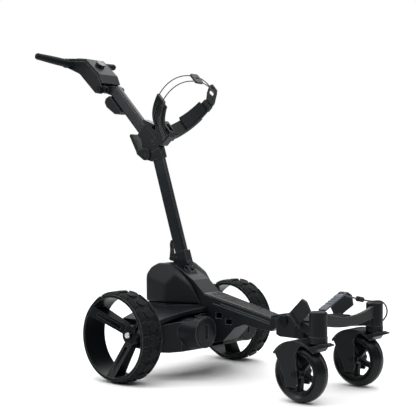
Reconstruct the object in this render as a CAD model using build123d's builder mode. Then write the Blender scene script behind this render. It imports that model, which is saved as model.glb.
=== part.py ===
from build123d import *
import os
from math import atan2, cos, degrees, pi, radians, sin, tan

os.makedirs("parts", exist_ok=True)

# ---------------------------------------------------------------- driving sizes
# X forward, Y to the left, Z up, ground at z = 0, rear axle at x = axle_x.
axle_x = -81.5

rear_radius = 146.0
tyre_width = 80.0
track_outer = 325.0
tread_depth = 5.0
rim_wall = 4.0
spoke_count = 3
spoke_phase = 23.0
axle_radius = 8.0

front_radius = 86.0
front_half_width = 29.0
front_rim_radius = 60.0
wheelbase = 660.0
caster_y = 155.0
caster_trail = 58.0
housing_radius = 26.0
housing_low = 196.0
housing_high = 266.0
stem_radius = 9.0
front_axle_radius = 5.0

mast_depth = 46.0
mast_width = 22.0
mast_wall = 2.0
lower_lean = 18.2
upper_lean = 44.4
upper_depth = 46.0
upper_offset = 5.0

handle_span = 196.0
grip_radius_in = 16.5
grip_radius_out = 12.5
bar_radius = 9.0
console_half = 45.0

pin_radius = 5.0
pin_fit = 0.08
gap = 0.4
side_gap = 0.3

# ---------------------------------------------------------------- places on the frame, from the axle
mast_hinge = (34.0, 350.0)
mast_foot_z = 402.0
mast_foot_x = -1.0
fold_pivot = (-156.0, 740.0)
tilt_pivot = (-365.0, 985.0)
front_hinge = (455.0, 210.0)
beam_start = (134.0, 274.0)
beam_half = 40.0
beam_half_front = 27.0
tray_z = 232.3


def export_piece(piece, name):
    piece.part.label = name
    export_step(piece.part, f"parts/{name}.step")


def side(y=0.0, x=0.0, z=0.0):
    # drawn as seen from the right-hand side: forward from the axle, then up
    return Plane(origin=(axle_x + x, y, z), x_dir=(1, 0, 0), z_dir=(0, -1, 0))


def front(x):
    # drawn as seen from the front end: left, then up
    return Plane(origin=(axle_x + x, 0, 0), x_dir=(0, 1, 0), z_dir=(1, 0, 0))


def deck(z):
    # drawn as seen from above: forward from the axle, then left
    return Plane(origin=(axle_x, 0, z), x_dir=(1, 0, 0), z_dir=(0, 0, 1))


def station(x, z, lean):
    # square across a mast that leans back: forward, then left
    a = radians(lean)
    return Plane(origin=(axle_x + x, 0, z), x_dir=(cos(a), 0, sin(a)), z_dir=(-sin(a), 0, cos(a)))


def turned(x, y, z):
    # half section of a wheel: across the trolley, then out from the axle
    return Plane(origin=(axle_x + x, y, z), x_dir=(0, 1, 0), z_dir=(1, 0, 0))


def across(x, z, y=0.0):
    return Axis((axle_x + x, y, z), (0, 1, 0))


sides = {"left": 1, "right": -1}

# ---------------------------------------------------------------- rear wheels
tread_blocks = 20
for name, s in sides.items():
    mid = s * (track_outer - tyre_width / 2)
    half = tyre_width / 2
    with BuildPart() as tyre:
        with BuildSketch(turned(0, mid, rear_radius)):
            with BuildLine():
                Polyline(
                    (-half, rear_radius - 15), (-half, rear_radius - 11), (-half + 12, rear_radius - 1.5),
                    (-10, rear_radius), (10, rear_radius), (half - 12, rear_radius - 1.5),
                    (half, rear_radius - 11), (half, rear_radius - 15), close=True,
                )
            make_face()
        revolve(axis=across(0, rear_radius))
        for edge in (-1, 1):
            turn = 90 / tread_blocks * (edge + 1)
            with BuildSketch(side(mid + edge * (half - 10), z=rear_radius)):
                with PolarLocations(rear_radius, tread_blocks, start_angle=turn):
                    Rectangle(2 * tread_depth, 7)
            extrude(amount=10.5, both=True, mode=Mode.SUBTRACT)
    export_piece(tyre, f"rear_tyre_{name}")

    rim_out = rear_radius - 15 - gap / 2
    rim_in = rim_out - rim_wall
    with BuildPart() as rim:
        with BuildSketch(turned(0, mid, rear_radius)):
            with BuildLine():
                Polyline(
                    (-half - 4, rim_out + 5), (-half - 0.3, rim_out + 5), (-half - 0.3, rim_out),
                    (half + 0.3, rim_out), (half + 0.3, rim_out + 5), (half + 4, rim_out + 5),
                    (half + 4, rim_in), (-half - 4, rim_in), close=True,
                )
            make_face()
        revolve(axis=across(0, rear_radius))
        # hub, carried at the inner side of the wheel
        with BuildSketch(side(s * 226, z=rear_radius)):
            Circle(32)
            Circle(axle_radius + 0.02, mode=Mode.SUBTRACT)
        extrude(amount=-s * 26)
        for k in range(spoke_count):
            turn = spoke_phase + 360 / spoke_count * k
            a = radians(turn)
            spoke_plane = Plane(
                origin=(axle_x, 0, rear_radius), x_dir=(0, s, 0), z_dir=(sin(a), 0, -cos(a)))
            out = 1 if spoke_plane.y_dir.dot(Vector(cos(a), 0, sin(a))) > 0 else -1
            with BuildSketch(spoke_plane):
                with BuildLine():
                    Polyline(
                        (track_outer - 2, out * (rim_in + 1)), (track_outer - 48, out * (rim_in + 1)),
                        (227, out * 26), (251, out * 24), close=True,
                    )
                make_face()
            extrude(amount=17, both=True)
            with BuildSketch(spoke_plane):
                with BuildLine():
                    Polyline(
                        (track_outer + 8, out * (rim_in - 12)), (track_outer - 14, out * (rim_in - 16)),
                        (246, out * 38), (276, out * 38), close=True,
                    )
                make_face()
            extrude(amount=7, both=True, mode=Mode.SUBTRACT)
    export_piece(rim, f"rear_rim_{name}")

    with BuildPart() as axle:
        with BuildSketch(turned(0, 0, rear_radius)):
            with BuildLine():
                Polyline(
                    (s * 150, 0), (s * 150, axle_radius), (s * 252.3, axle_radius), (s * 252.3, 11),
                    (s * 262, 11), (s * 265, 8), (s * 265, 0), close=True,
                )
            make_face()
        revolve(axis=across(0, rear_radius))
    export_piece(axle, f"rear_axle_{name}")

# ---------------------------------------------------------------- drive train
motor_out = 108.0
motor_z = 158.0
motor_radius = 47.0
motor_back = 62.0
motor_front = 204.0
for name, s in sides.items():
    with BuildPart() as gearbox:
        with BuildSketch(side(s * 158, z=rear_radius)):
            Circle(35)
        extrude(amount=-s * 52)
        with BuildSketch(side(s * 158, z=rear_radius)):
            Circle(15 + gap)
        extrude(amount=-s * 56, mode=Mode.SUBTRACT)
        chamfer(gearbox.edges().filter_by(GeomType.CIRCLE).sort_by(Axis.Y)[-2 if s > 0 else 1], 5)
    export_piece(gearbox, f"gearbox_{name}")

    with BuildPart() as motor:
        with BuildSketch(front(motor_back)):
            with Locations((s * motor_out, motor_z)):
                Circle(motor_radius - 5)
        extrude(amount=motor_front - motor_back - 34)
        with BuildSketch(front(motor_front - 34)):
            with Locations((s * motor_out, motor_z)):
                Circle(motor_radius)
        extrude(amount=34)
        fillet(motor.edges().filter_by(GeomType.CIRCLE).sort_by(Axis.X)[-1], 4)
        with BuildSketch(front(motor_front)):
            with Locations((s * motor_out, motor_z)):
                SlotOverall(50, 13, rotation=90)
        extrude(amount=-7, mode=Mode.SUBTRACT)
    export_piece(motor, f"motor_{name}")

with BuildPart() as axle_bearings:
    for s in sides.values():
        with BuildSketch(side(s * 160, z=rear_radius)):
            Circle(15)
            Circle(axle_radius + pin_fit, mode=Mode.SUBTRACT)
        extrude(amount=-s * 12)
        with BuildSketch(side(s * 196, z=rear_radius)):
            Circle(15)
            Circle(axle_radius + pin_fit, mode=Mode.SUBTRACT)
        extrude(amount=-s * 12)
export_piece(axle_bearings, "axle_bearings")

# ---------------------------------------------------------------- rear body
arch_half = 222.0
arch_top = (194.0, 232.0)
arch_under = (178.0, 216.0)


def hump_outline(points):
    left = [(x, -y) for x, y in reversed(points)]
    Polyline(*points, *left, close=True)


with BuildPart() as rear_arch:
    with BuildSketch(front(-62)):
        with BuildLine():
            crown = ThreePointArc((-arch_half, arch_top[0]), (0, arch_top[1]), (arch_half, arch_top[0]))
            Line(crown @ 1, (arch_half, arch_under[0]))
            inner = ThreePointArc((arch_half, arch_under[0]), (0, arch_under[1]), (-arch_half, arch_under[0]))
            Line(inner @ 1, crown @ 0)
        make_face()
    extrude(amount=215)
    with BuildSketch(deck(100), mode=Mode.PRIVATE) as arch_plan:
        with BuildLine():
            Polyline((-62, -230), (88, -230), (146, -60), (146, 60), (88, 230), (-62, 230), close=True)
        make_face()
    extrude(arch_plan.sketch, amount=200, mode=Mode.INTERSECT)
    # raised seat for the battery
    with BuildSketch(deck(tray_z - 18)):
        with BuildLine():
            hump_outline([(-92, 56), (-86, 80), (7, 90), (118, 41)])
        make_face()
    extrude(amount=21)
    # end plates that the gearboxes bolt to, each with its clearance for the axle
    for s in sides.values():
        with BuildSketch(side(s * 211, z=rear_radius)):
            Circle(46)
            with Locations((0, 30)):
                Rectangle(92, 34)
        extrude(amount=-s * 9)
        with BuildSketch(side(s * 205, z=rear_radius)):
            Circle(axle_radius + gap)
        extrude(amount=-s * 20, mode=Mode.SUBTRACT)
    # the beam and its strut pass through the middle
    with BuildSketch(deck(150)):
        with Locations((60, 0)):
            Rectangle(300, 2 * beam_half + 2 * side_gap)
    extrude(amount=120, mode=Mode.SUBTRACT)
export_piece(rear_arch, "rear_arch")

cowl_plan = [(-88, 0), (-88, 175), (-60, 207), (84, 207), (142, 158), (152, 62), (152, 0)]
cowl_side = [(-92, 236), (-84, 128), (-30, 98), (110, 92), (156, 97), (156, 150), (136, 236)]
cowl_wall = 3.5
cowl_slot = 5.0


def cowl_blank(inset):
    with BuildPart() as blank:
        with BuildSketch(deck(60)):
            with BuildLine():
                right = [(x, -y) for x, y in cowl_plan[-2:0:-1]]
                Polyline(*cowl_plan[1:-1], *right, close=True)
            make_face()
            if inset:
                offset(amount=-inset)
        extrude(amount=180)
        with BuildSketch(side(), mode=Mode.PRIVATE) as profile:
            with BuildLine():
                Polyline(*cowl_side, close=True)
            make_face()
            if inset:
                offset(amount=-inset)
        extrude(profile.sketch, amount=240, both=True, mode=Mode.INTERSECT)
    return blank.part


with BuildPart() as lower_cowl:
    add(cowl_blank(0))
    # sleeves that run forward round the motors
    for s in sides.values():
        for at, radius in ((112, motor_radius + 15), (motor_front - 2, motor_radius + 3.5)):
            with BuildSketch(front(at)):
                with Locations((s * motor_out, motor_z)):
                    Circle(radius)
        loft()
    add(cowl_blank(cowl_wall), mode=Mode.SUBTRACT)
    # open top, a slot's height under the arch
    with BuildSketch(front(-200)):
        with BuildLine():
            lip = ThreePointArc(
                (-arch_half, arch_under[0] - cowl_slot), (0, arch_under[1] - cowl_slot),
                (arch_half, arch_under[0] - cowl_slot))
            Polyline(lip @ 1, (arch_half, 260), (-arch_half, 260), lip @ 0)
        make_face()
    extrude(amount=400, mode=Mode.SUBTRACT)
    for s in sides.values():
        with BuildSketch(front(60)):
            with Locations((s * motor_out, motor_z)):
                Circle(motor_radius + gap)
        extrude(amount=180, mode=Mode.SUBTRACT)
        with BuildSketch(side(s * 200, z=rear_radius)):
            Circle(46 + gap)
            with Locations((0, 30)):
                Rectangle(93, 34)
        extrude(amount=-s * 12, mode=Mode.SUBTRACT)
    with BuildSketch(side()):
        with Locations((70, 170)):
            Rectangle(220, 150)
    extrude(amount=beam_half + side_gap, both=True, mode=Mode.SUBTRACT)
    # cooling slits low at the front
    with BuildSketch(deck(80)):
        with Locations((128, 64), (128, -64)):
            with GridLocations(9, 0, 3, 1):
                Rectangle(4, 26)
    extrude(amount=30, mode=Mode.SUBTRACT)
export_piece(lower_cowl, "lower_cowl")

beam_profile = [
    (-52, 300), (-50, 362), (-44, 366.5), (8, 357.5), (87, 314), beam_start, (404, 214), front_hinge,
    (404, 172), (338, 177), (298, 184), (262, 170), (215, 124), (170, 113), (40, 113), (40, 200), (20, 232),
]
hinge_nose = 21.0
beam_wall = 9.0


def beam_blank(inset):
    with BuildPart() as blank:
        with BuildSketch(side()):
            with BuildLine():
                Polyline(*beam_profile, close=True)
            make_face()
            if inset:
                offset(amount=-inset)
        extrude(amount=beam_half, both=True)
        with BuildSketch(deck(80), mode=Mode.PRIVATE) as beam_plan:
            with BuildLine():
                Polyline(
                    (-60, -34), (60, -beam_half), (160, -beam_half), (404, -beam_half_front - 3), (500, -29.7),
                    (500, 29.7), (404, beam_half_front + 3), (160, beam_half), (60, beam_half), (-60, 34),
                    close=True,
                )
            make_face()
            if inset:
                offset(amount=-inset)
        extrude(beam_plan.sketch, amount=320, mode=Mode.INTERSECT)
    return blank.part


with BuildPart() as main_beam:
    add(beam_blank(0))
    with BuildSketch(side()):
        with Locations(front_hinge):
            Circle(hinge_nose)
        with BuildLine():
            Polyline((380, 218), (452, front_hinge[1] + hinge_nose), (452, front_hinge[1] - hinge_nose), (380, 173),
                     close=True)
        make_face()
    extrude(amount=beam_half_front + 2.7, both=True)
    add(beam_blank(beam_wall), mode=Mode.SUBTRACT)
    # lowered top for the gloss cover
    with BuildSketch(side()):
        with BuildLine():
            Polyline((136, 269.6), (400, 211.3), (405, 300), (136, 300), close=True)
        make_face()
    extrude(amount=60, both=True, mode=Mode.SUBTRACT)
    # two fine grooves along each tapering side
    taper = (beam_half - beam_half_front - 3) / 244
    rise = (214 - beam_start[1]) / (404 - beam_start[0])
    for s in sides.values():
        skin = Plane(origin=(axle_x + 160, s * beam_half, 0), x_dir=(1, -s * taper, 0), z_dir=(-s * taper, -1, 0))
        for drop, start in ((14, 205), (21, 172)):
            top = beam_start[1] + rise * (start - beam_start[0]) - drop
            end = beam_start[1] + rise * (396 - beam_start[0]) - drop
            with BuildSketch(skin):
                with BuildLine():
                    Polyline((start - 160, top), (236, end), (236, end - 1.8), (start - 160, top - 1.8), close=True)
                make_face()
            extrude(amount=1.2, both=True, mode=Mode.SUBTRACT)
    # cooling openings low on each side
    with BuildSketch(side()):
        with Locations((196, 205), (236, 188)):
            Rectangle(26, 17)
    extrude(amount=60, both=True, mode=Mode.SUBTRACT)
    # lugs for the mast hinge
    with BuildSketch(side()):
        with Locations(mast_hinge):
            Circle(9)
        with BuildLine():
            Polyline((27, 344), (39, 357), (58, 331), (44, 326), close=True)
        make_face()
    extrude(amount=16, both=True)
    with BuildSketch(side()):
        with Locations(mast_hinge):
            Circle(9.6)
        with BuildLine():
            Polyline((36, 352), (51, 352), (51, 340), (40, 341), close=True)
        make_face()
    extrude(amount=8, both=True, mode=Mode.SUBTRACT)
    with BuildSketch(side()):
        with Locations(mast_hinge, front_hinge):
            Circle(pin_radius)
    extrude(amount=60, both=True, mode=Mode.SUBTRACT)
export_piece(main_beam, "main_beam")

with BuildPart() as beam_cover:
    with BuildSketch(side()):
        with BuildLine():
            Polyline((136.5, 270.1), (398.5, 212.1), (399, 216.8), (137.5, 274.6), close=True)
        make_face()
    extrude(amount=60, both=True)
    with BuildSketch(deck(180), mode=Mode.PRIVATE) as cover_plan:
        with BuildLine():
            Polyline((100, -39), (160, -39), (420, -28.5), (420, 28.5), (160, 39), (100, 39), close=True)
        make_face()
    extrude(cover_plan.sketch, amount=120, mode=Mode.INTERSECT)
    fillet(beam_cover.edges().filter_by(Axis((0, 0, 0), (263, 0, -58.2)), tolerance=5).group_by(Axis.Z)[-1], 2)
export_piece(beam_cover, "beam_cover")

with BuildPart() as controller_box:
    with BuildSketch(side()):
        with Locations((100, 168)):
            Rectangle(84, 60)
    extrude(amount=beam_half - 11, both=True)
    fillet(controller_box.edges().filter_by(Axis.Y), 4)
    with BuildSketch(side()):
        with GridLocations(12, 0, 6, 1):
            with Locations((100, 198)):
                Rectangle(5, 10)
    extrude(amount=beam_half - 14, both=True, mode=Mode.SUBTRACT)
    # foot down to the beam's floor
    with BuildSketch(deck(113 + beam_wall)):
        with Locations((100, 0)):
            Rectangle(20, 20)
    extrude(amount=20)
export_piece(controller_box, "controller_box")

with BuildPart() as hinge_pins:
    for spot in (mast_hinge, front_hinge):
        reach = 16 if spot is mast_hinge else 38
        with BuildSketch(side(0, *spot)):
            Circle(pin_radius)
        extrude(amount=reach, both=True)
    for s in sides.values():
        with BuildSketch(side(s * 38, *front_hinge)):
            Circle(15)
        extrude(amount=-s * 4)
export_piece(hinge_pins, "hinge_pins")

# ---------------------------------------------------------------- battery
battery_low = tray_z + 3.5
with BuildPart() as battery_case:
    with BuildSketch(deck(battery_low)) as hump_plan:
        with BuildLine():
            hump_outline([(-98, 60), (-90, 86), (10, 95), (128, 41)])
        make_face()
        fillet(hump_plan.vertices().group_by(Axis.X)[:-1], 14)
    extrude(amount=140)
    with BuildSketch(side(), mode=Mode.PRIVATE) as hump_side:
        with BuildLine():
            Polyline((-110, battery_low), (-98, 318), (-80, 352), (-52, 367), (2, 367), (86, 300), (128, battery_low),
                     close=True)
        make_face()
        fillet(hump_side.vertices().filter_by(lambda v: v.Z > battery_low + 1), 9)
    extrude(hump_side.sketch, amount=120, both=True, mode=Mode.INTERSECT)
    with BuildSketch(front(0), mode=Mode.PRIVATE) as hump_end:
        with BuildLine():
            Polyline((-96, battery_low), (-94, 300), (-66, 368), (66, 368), (94, 300), (96, battery_low), close=True)
        make_face()
        fillet(hump_end.vertices().filter_by(lambda v: v.Z > battery_low + 1), 16)
    extrude(hump_end.sketch, amount=160, both=True, mode=Mode.INTERSECT)
    # channel for the beam's strut
    with BuildSketch(side()):
        with Locations((100, 300)):
            Rectangle(306, 160)
    extrude(amount=beam_half + 0.6, both=True, mode=Mode.SUBTRACT)
export_piece(battery_case, "battery_case")

# ---------------------------------------------------------------- mast foot, latch, lower mast
low = radians(lower_lean)
high = radians(upper_lean)


def low_mast(f, s):
    # forward of the lower mast's centre line, then along it from the foot's top
    return (mast_foot_x + f * cos(low) - s * sin(low), mast_foot_z + f * sin(low) + s * cos(low))


def high_mast(f, s):
    # the same for the upper mast, from the elbow's top
    return (-183.0 + f * cos(high) - s * sin(high), 825.0 + f * sin(high) + s * cos(high))


foot_half = 15.0
latch_pivot = (-45.0, 379.0)
with BuildPart() as mast_foot:
    with BuildSketch(side()):
        with BuildLine():
            Polyline(
                low_mast(-26, 2), low_mast(26, 2), (35, 376), (40, 367), (22, 356), (12, 358.2), (-16, 363),
                (-26, 368), close=True,
            )
        make_face()
    extrude(amount=foot_half, both=True)
    fillet(mast_foot.edges().filter_by(Axis.Y).sort_by(Axis.Z)[-2:], 1.5)
    # ear that carries the latch
    with BuildSketch(side()):
        with BuildLine():
            Polyline((-20, 369.5), (-43, 372), (-50, 377), (-47, 385), (-20, 391), close=True)
        make_face()
    extrude(amount=11, both=True)
    # knuckle between the beam's lugs
    with BuildSketch(side()):
        with Locations(mast_hinge):
            Circle(9.6)
    extrude(amount=40, both=True, mode=Mode.SUBTRACT)
    with BuildSketch(side()):
        with Locations(mast_hinge):
            Circle(8.8)
        with BuildLine():
            Polyline((27, 354), (41, 354), (36, 376), (18, 376), close=True)
        make_face()
    extrude(amount=7.6, both=True)
    with BuildSketch(side()):
        with Locations(mast_hinge):
            Circle(pin_radius + pin_fit)
    extrude(amount=20, both=True, mode=Mode.SUBTRACT)
    # socket for the tube
    with BuildSketch(station(*low_mast(0, -24), lower_lean)):
        RectangleRounded(mast_depth + 0.4, mast_width + 0.4, 6.2)
    extrude(amount=40, mode=Mode.SUBTRACT)
    # slot and pin for the latch
    with BuildSketch(side()):
        with BuildLine():
            Polyline((-60, 360), (-37.5, 360), (-36, 400), (-60, 400), close=True)
        make_face()
    extrude(amount=7.4, both=True, mode=Mode.SUBTRACT)
    with BuildSketch(side(0, *latch_pivot)):
        Circle(2.5)
    extrude(amount=9, both=True)
    # screw recesses in each cheek
    for s in sides.values():
        with BuildSketch(side(s * foot_half, *low_mast(-17, -12))):
            Circle(3)
        extrude(amount=s * 1.5, mode=Mode.SUBTRACT)
export_piece(mast_foot, "mast_foot")

with BuildPart() as base_latch:
    with BuildSketch(side()):
        with BuildLine():
            Polyline(
                (-51, 374), (-39.5, 374), (-39, 390), (-42, 408), (-44, 424), (-40.5, 433), (-37.6, 437),
                (-39, 443), (-46, 441), (-50.5, 428), (-48.5, 408), (-50.5, 390), close=True,
            )
        make_face()
    extrude(amount=7, both=True)
    fillet(base_latch.edges().filter_by(Axis.Y), 1.5)
    with BuildSketch(side(0, *latch_pivot)):
        Circle(2.5 + pin_fit)
    extrude(amount=20, both=True, mode=Mode.SUBTRACT)
export_piece(base_latch, "base_latch")

tube_top = 354.0
with BuildPart() as lower_mast_tube:
    with BuildSketch(station(*low_mast(0, -23.8), lower_lean)):
        RectangleRounded(mast_depth, mast_width, 6)
        RectangleRounded(mast_depth - 2 * mast_wall, mast_width - 2 * mast_wall, 4, mode=Mode.SUBTRACT)
    extrude(amount=tube_top + 23.8)
export_piece(lower_mast_tube, "lower_mast_tube")

pivot_f = (fold_pivot[0] - mast_foot_x) * cos(low) + (fold_pivot[1] - mast_foot_z) * sin(low)
pivot_s = -(fold_pivot[0] - mast_foot_x) * sin(low) + (fold_pivot[1] - mast_foot_z) * cos(low)
joint_half = 14.0
tongue_half = 7.7
hub_half = 20.0
knuckle = 19.0
with BuildPart() as mast_head:
    with BuildSketch(side()):
        with BuildLine():
            Polyline(
                low_mast(25, 337), low_mast(25, pivot_s - 0.4), low_mast(pivot_f, pivot_s - 0.4),
                low_mast(pivot_f - 15, pivot_s - 11), low_mast(-25, 337), close=True,
            )
        make_face()
        with Locations(fold_pivot):
            Circle(knuckle)
    extrude(amount=joint_half, both=True)
    with BuildSketch(side()):
        with Locations(fold_pivot):
            Circle(knuckle + 1)
    extrude(amount=tongue_half + 0.4, both=True, mode=Mode.SUBTRACT)
    with BuildSketch(side(0, *fold_pivot)):
        Circle(pin_radius)
    extrude(amount=30, both=True, mode=Mode.SUBTRACT)
    with BuildSketch(station(*low_mast(0, 330), lower_lean)):
        RectangleRounded(mast_depth + 0.4, mast_width + 0.4, 6.2)
    extrude(amount=tube_top + 0.3 - 330, mode=Mode.SUBTRACT)
export_piece(mast_head, "mast_head")

# ---------------------------------------------------------------- fold joint
with BuildPart() as fold_pin:
    with BuildSketch(side(0, *fold_pivot)):
        Circle(pin_radius)
    extrude(amount=hub_half - 0.6, both=True)
export_piece(fold_pin, "fold_pin")

elbow_front = low_mast(25, pivot_s + 0.2)
elbow_corner = low_mast(24, pivot_s + 26)
elbow_top = high_mast(31, 2)
with BuildPart() as mast_elbow:
    with BuildSketch(side()):
        with BuildLine():
            Polyline(
                elbow_front, elbow_corner, elbow_top, high_mast(-22, 2), high_mast(-22, -26),
                (-178, 764), low_mast(pivot_f - 8, pivot_s + 0.2), close=True,
            )
        make_face()
    extrude(amount=joint_half, both=True)
    with BuildSketch(side()):
        with Locations(fold_pivot):
            Circle(knuckle + 0.6)
    extrude(amount=40, both=True, mode=Mode.SUBTRACT)
    with BuildSketch(side()):
        with Locations(fold_pivot):
            Circle(knuckle)
        with BuildLine():
            Polyline(low_mast(pivot_f - 6, pivot_s + 1), low_mast(pivot_f + 19, pivot_s + 1),
                     low_mast(pivot_f + 21, pivot_s + 30), low_mast(pivot_f - 6, pivot_s + 30), close=True)
        make_face()
    extrude(amount=tongue_half, both=True)
    with BuildSketch(side(0, *fold_pivot)):
        Circle(pin_radius + pin_fit)
    extrude(amount=40, both=True, mode=Mode.SUBTRACT)
    with BuildSketch(station(*high_mast(upper_offset, -25), upper_lean)):
        RectangleRounded(upper_depth + 0.4, mast_width + 0.4, 6.2)
    extrude(amount=60, mode=Mode.SUBTRACT)
    # small recesses in each side plate
    for s in sides.values():
        with BuildSketch(side(s * joint_half)):
            with Locations((-117, 795), (-117, 777), (-127, 786)):
                Circle(3)
        extrude(amount=s * 1.5, mode=Mode.SUBTRACT)
export_piece(mast_elbow, "mast_elbow")

lever_tip = (-227, 808)
lever_base = (-190, 748)
with BuildPart() as fold_lever:
    with BuildSketch(side()):
        with Locations(fold_pivot):
            Circle(21)
        with Locations(lever_base):
            Circle(9)
        make_hull()
    extrude(amount=hub_half, both=True)
    with BuildSketch(side()):
        with Locations(fold_pivot):
            Circle(knuckle + 8)
        with BuildLine():
            Polyline(fold_pivot, (-150, 700), (-100, 700), (-100, 800), (-183, 800), (-183, 757), close=True)
        make_face()
    extrude(amount=joint_half + 0.3, both=True, mode=Mode.SUBTRACT)
    with BuildSketch(side()):
        with Locations(lever_base):
            Circle(8.5)
        with Locations(lever_tip):
            Circle(6.5)
        make_hull()
    extrude(amount=hub_half - 1, both=True)
    with BuildSketch(side(0, *fold_pivot)):
        Circle(pin_radius + pin_fit)
    extrude(amount=hub_half - 0.5, both=True, mode=Mode.SUBTRACT)
export_piece(fold_lever, "fold_lever")

# ---------------------------------------------------------------- upper mast
neck_s = 208.0
with BuildPart() as upper_mast_tube:
    with BuildSketch(station(*high_mast(upper_offset, -24.8), upper_lean)):
        RectangleRounded(upper_depth, mast_width, 6)
        RectangleRounded(upper_depth - 2 * mast_wall, mast_width - 2 * mast_wall, 4, mode=Mode.SUBTRACT)
    extrude(amount=neck_s + 24.8)
export_piece(upper_mast_tube, "upper_mast_tube")

neck_half = 29.5
with BuildPart() as handle_neck:
    with BuildSketch(side()):
        with BuildLine():
            Polyline(
                high_mast(-17, neck_s + 0.1), high_mast(27, neck_s + 0.1), high_mast(6, neck_s + 22),
                high_mast(-22, neck_s + 46), high_mast(-33, neck_s + 34), close=True,
            )
        make_face()
    extrude(amount=13, both=True)
    with BuildSketch(side(0, *tilt_pivot)):
        Circle(16)
    extrude(amount=neck_half, both=True)
    with BuildSketch(side(0, *tilt_pivot)):
        Circle(pin_radius + pin_fit)
    extrude(amount=neck_half + 1, both=True, mode=Mode.SUBTRACT)
export_piece(handle_neck, "handle_neck")

with BuildPart() as accessory_pod:
    with BuildSketch(side()) as pod_side:
        with BuildLine():
            Polyline(
                high_mast(-18.2, 118), high_mast(-30, 119), high_mast(-46, 136), high_mast(-57, 186),
                high_mast(-52, 206), high_mast(-38, 212), high_mast(-18.2, 204), close=True,
            )
        make_face()
        fillet(pod_side.vertices().group_by(Axis.X)[0:3], 6)
    extrude(amount=18, both=True)
export_piece(accessory_pod, "accessory_pod")

# ---------------------------------------------------------------- upper bag cradle
# The bag rests in the plane across its own lean, between two arms that open away from the mast.
bag_lean = 42.2
bl = radians(bag_lean)
cradle_base = (-75.0, 845.0)
arm_centre = (-81.0, 155.0)
arm_radius = 210.0
arm_wall = 12.0
pad_wall = 12.0
hub_half_width = 28.0
tip_away = 118.0
# across the arms' broad face: away from the mast, then up along the bag
arm_band = [(-60, -50), (-20, -50), (tip_away, -28), (tip_away, 11), (-20, 2), (-60, 2)]
pad_band = [(-60, -54), (-20, -54), (tip_away, -32), (tip_away, 15), (-20, 7), (-60, 7)]


def cradle(b=0.0):
    # drawn looking down the bag: right, then away from the mast
    return Plane(
        origin=(axle_x + cradle_base[0] - b * sin(bl), 0, cradle_base[1] + b * cos(bl)),
        x_dir=(0, -1, 0), z_dir=(-sin(bl), 0, cos(bl)))


def cradle_side(y=0.0):
    # drawn from the right: away from the mast, then up along the bag
    return Plane(
        origin=(axle_x + cradle_base[0], y, cradle_base[1]), x_dir=(cos(bl), 0, sin(bl)), z_dir=(0, -1, 0))


def cradle_point(lateral, away, b):
    return (axle_x + cradle_base[0] + away * cos(bl) - b * sin(bl), lateral,
            cradle_base[1] + away * sin(bl) + b * cos(bl))


def cradle_place(away, b):
    x, _, z = cradle_point(0, away, b)
    return (x - axle_x, z)


def ring_sector(inner, outer, start, stop):
    # start and stop are turned from the foot of the arms' circle out to the side
    def at(radius, turn):
        return (arm_centre[0] + radius * sin(radians(turn)), arm_centre[1] - radius * cos(radians(turn)))
    mid = (start + stop) / 2
    outside = ThreePointArc(at(outer, start), at(outer, mid), at(outer, stop))
    Line(outside @ 1, at(inner, stop))
    inside = ThreePointArc(at(inner, stop), at(inner, mid), at(inner, start))
    Line(inside @ 1, outside @ 0)


def band(points, start):
    # slab that limits a piece to its own band across the arms, beyond a distance from the middle
    with BuildPart() as slab:
        with BuildSketch(cradle_side(-start)):
            with BuildLine():
                Polyline(*points, close=True)
            make_face()
        extrude(amount=150)
    return slab.part


with BuildPart() as cradle_bracket:
    with BuildSketch(side()):
        with BuildLine():
            Polyline(
                elbow_corner, elbow_top, high_mast(28.3, 2.2), high_mast(28.3, 16), high_mast(37, 18),
                cradle_place(-20, 2), cradle_place(4, 8), cradle_place(4, -46), cradle_place(-12, -54),
                (-82, 768), (-90, 770), close=True,
            )
        make_face()
        # openings between the bracket's ribs
        with BuildLine():
            Polyline((-134, 836), (-112, 842), (-108, 815), close=True)
        make_face(mode=Mode.SUBTRACT)
    extrude(amount=15, both=True)
    with BuildSketch(cradle_side()):
        with BuildLine():
            Polyline((-34, -50), (-6, -50), (-6, 2), (-34, 2), close=True)
        make_face()
    extrude(amount=hub_half_width - 0.1, both=True)
    # hollow front of the hub
    with BuildSketch(cradle(-40)):
        with Locations((0, -2)):
            Rectangle(18, 22)
    extrude(amount=34, mode=Mode.SUBTRACT)
export_piece(cradle_bracket, "cradle_bracket")

with BuildPart() as cradle_arm_right:
    with BuildSketch(cradle(-60)):
        with BuildLine():
            ring_sector(arm_radius - arm_wall, arm_radius, 24, 82)
        make_face()
    extrude(amount=90)
    add(band(arm_band, hub_half_width), mode=Mode.INTERSECT)
    # hollow back of the arm, between its two ribs
    with BuildSketch(cradle(-36)):
        with BuildLine():
            ring_sector(arm_radius - 5, arm_radius + 3, 44, 74)
        make_face()
    extrude(amount=28, mode=Mode.SUBTRACT)
export_piece(cradle_arm_right, "cradle_arm_right")

plate_y = 123.0
with BuildPart() as cradle_arm_left:
    mirror(cradle_arm_right.part, about=Plane.XZ)
    # plate that carries the hook end of the elastic cords
    with BuildSketch(cradle_side(plate_y + 5)):
        with BuildLine():
            Polyline(
                (104, -24), (tip_away - 6, 8), (136, 28), (160, 38), (172, 32), (172, 2), (160, -8), (130, -25),
                close=True)
        make_face()
        with Locations((148, 12)):
            SlotOverall(24, 11, rotation=100, mode=Mode.SUBTRACT)
    extrude(amount=5)
export_piece(cradle_arm_left, "cradle_arm_left")

with BuildPart() as pad_right:
    with BuildSketch(cradle(-60)):
        with BuildLine():
            ring_sector(arm_radius - arm_wall - pad_wall, arm_radius - arm_wall - 0.1, 46, 74)
        make_face()
    extrude(amount=90)
    add(band(pad_band, hub_half_width), mode=Mode.INTERSECT)
with BuildPart() as cradle_pads:
    add(pad_right.part)
    mirror(pad_right.part, about=Plane.XZ)
export_piece(cradle_pads, "cradle_pads")

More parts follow.
